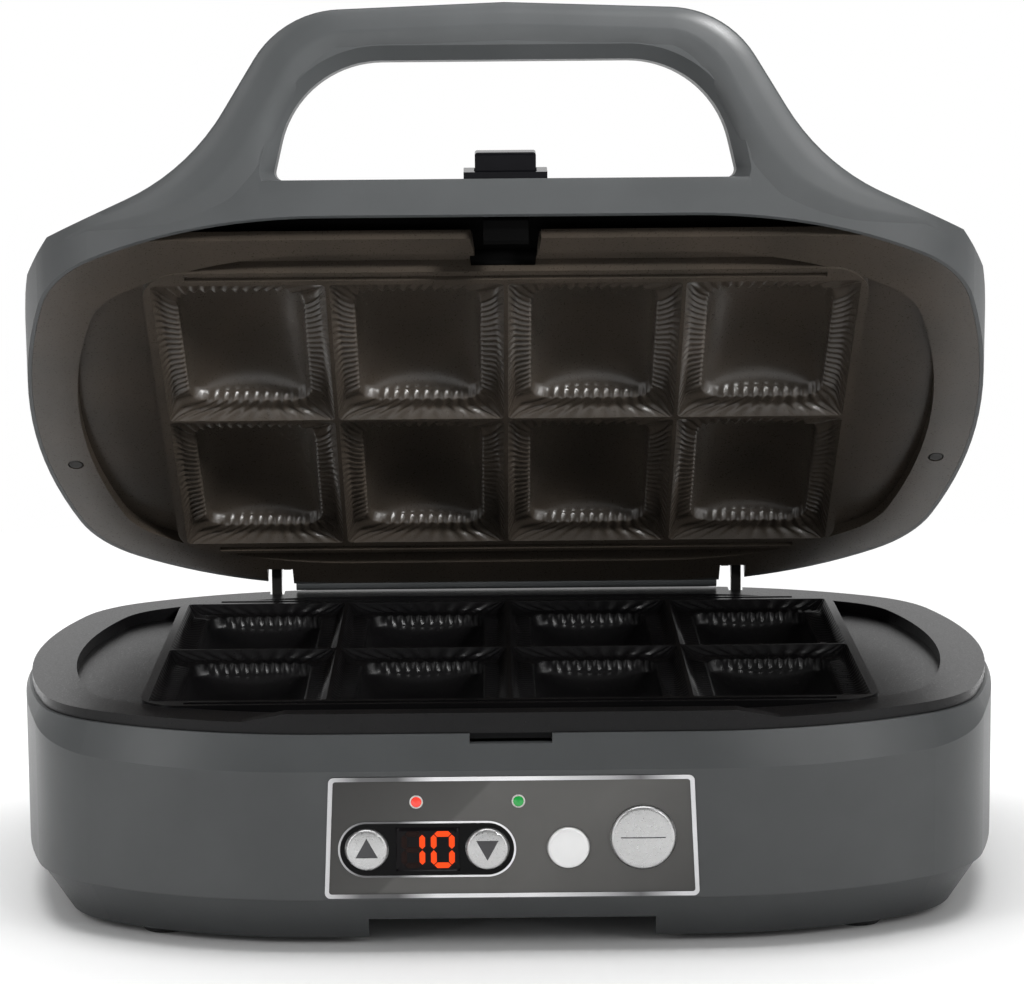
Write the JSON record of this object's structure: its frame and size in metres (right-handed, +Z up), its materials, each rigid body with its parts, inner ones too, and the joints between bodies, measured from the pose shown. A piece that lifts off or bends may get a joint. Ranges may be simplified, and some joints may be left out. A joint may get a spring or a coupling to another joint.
{
  "type": "electric pie maker",
  "caption": "Countertop electric pie maker with a hinged lid, an arched carrying handle, two rows of oblong crimping cells and a front control panel with buttons and a digital display.",
  "frame": {"origin": "on the table under the centre of the base", "axes": "+X to the right of a person facing the control panel, +Y to the hinge side, +Z up"},
  "size_m": [0.364, 0.2666, 0.3281],
  "materials": {
    "housing": "satin",
    "rubber": "matte",
    "nonstick": "satin",
    "steel": "satin",
    "sheet": "satin",
    "latch_black": "matte",
    "gloss_black": "gloss",
    "panel": "gloss",
    "chrome": "polished",
    "window": "gloss",
    "button_silver": "satin",
    "button_white": "gloss",
    "red_lens": "gloss",
    "green_lens": "gloss",
    "board": "satin"
  },
  "bodies": {
    "base": {"base_housing": "housing", "base_cover": "housing", "rubber_feet": "rubber", "base_screws": "steel", "lower_plate": "nonstick", "lower_plate_screws": "steel", "lower_heater": "steel", "lower_reflector": "sheet", "lower_sensor": "steel", "control_board": "board", "power_board": "board", "display_module": "latch_black", "display_window": "window", "display_trim": "chrome", "panel_face": "panel", "panel_trim": "chrome", "heating_lamp": "red_lens", "ready_lamp": "green_lens", "button_switches": "latch_black", "cord_gland": "latch_black", "terminal_block": "latch_black", "hinge_brackets": "steel", "hinge_pins": "steel", "latch_keeper": "steel"},
    "lid": {"lid_cover": "housing", "handle_back": "housing", "handle_screws": "steel", "front_guard": "latch_black", "upper_plate": "nonstick", "upper_plate_screws": "steel", "upper_heater": "steel", "upper_reflector": "sheet", "upper_sensor": "steel", "latch_bezel": "gloss_black", "lid_hinge_brackets": "steel", "latch_springs": "steel", "latch_pin": "steel"},
    "up_button": {"up_button": "button_silver"},
    "down_button": {"down_button": "button_silver"},
    "extra_button": {"extra_button": "button_white"},
    "start_button": {"start_button": "button_silver"},
    "latch_button": {"latch_button": "gloss_black"},
    "latch_hook": {"latch_hook": "latch_black"}
  },
  "joints": [
    {"name": "lid_hinge", "type": "hinge", "parent": "base", "child": "lid", "pos_m": [0, 0.1215, 0.096], "axis": [-1, 0, 0], "range_deg": [-41.2, 58]},
    {"name": "latch_press", "type": "slide", "parent": "lid", "child": "latch_button", "axis": [0, 0.0663, -0.9978], "range_m": [0, 0.0016], "stiffness_N_per_m": 900},
    {"name": "latch_release", "type": "hinge", "parent": "lid", "child": "latch_hook", "pos_m": [0, -0.06982, 0.25366], "axis": [-1, 0, 0], "range_deg": [0, 10]},
    {"name": "up_press", "type": "slide", "parent": "base", "child": "up_button", "axis": [0, 1, 0], "range_m": [0, 0.001], "stiffness_N_per_m": 1000},
    {"name": "down_press", "type": "slide", "parent": "base", "child": "down_button", "axis": [0, 1, 0], "range_m": [0, 0.001], "stiffness_N_per_m": 1000},
    {"name": "extra_press", "type": "slide", "parent": "base", "child": "extra_button", "axis": [0, 1, 0], "range_m": [0, 0.001], "stiffness_N_per_m": 1000},
    {"name": "start_press", "type": "slide", "parent": "base", "child": "start_button", "axis": [0, 1, 0], "range_m": [0, 0.001], "stiffness_N_per_m": 1000}
  ],
  "couplings": [
    {"joint": "latch_release", "follows": "latch_press", "rad_per_m": 109.08}
  ]
}
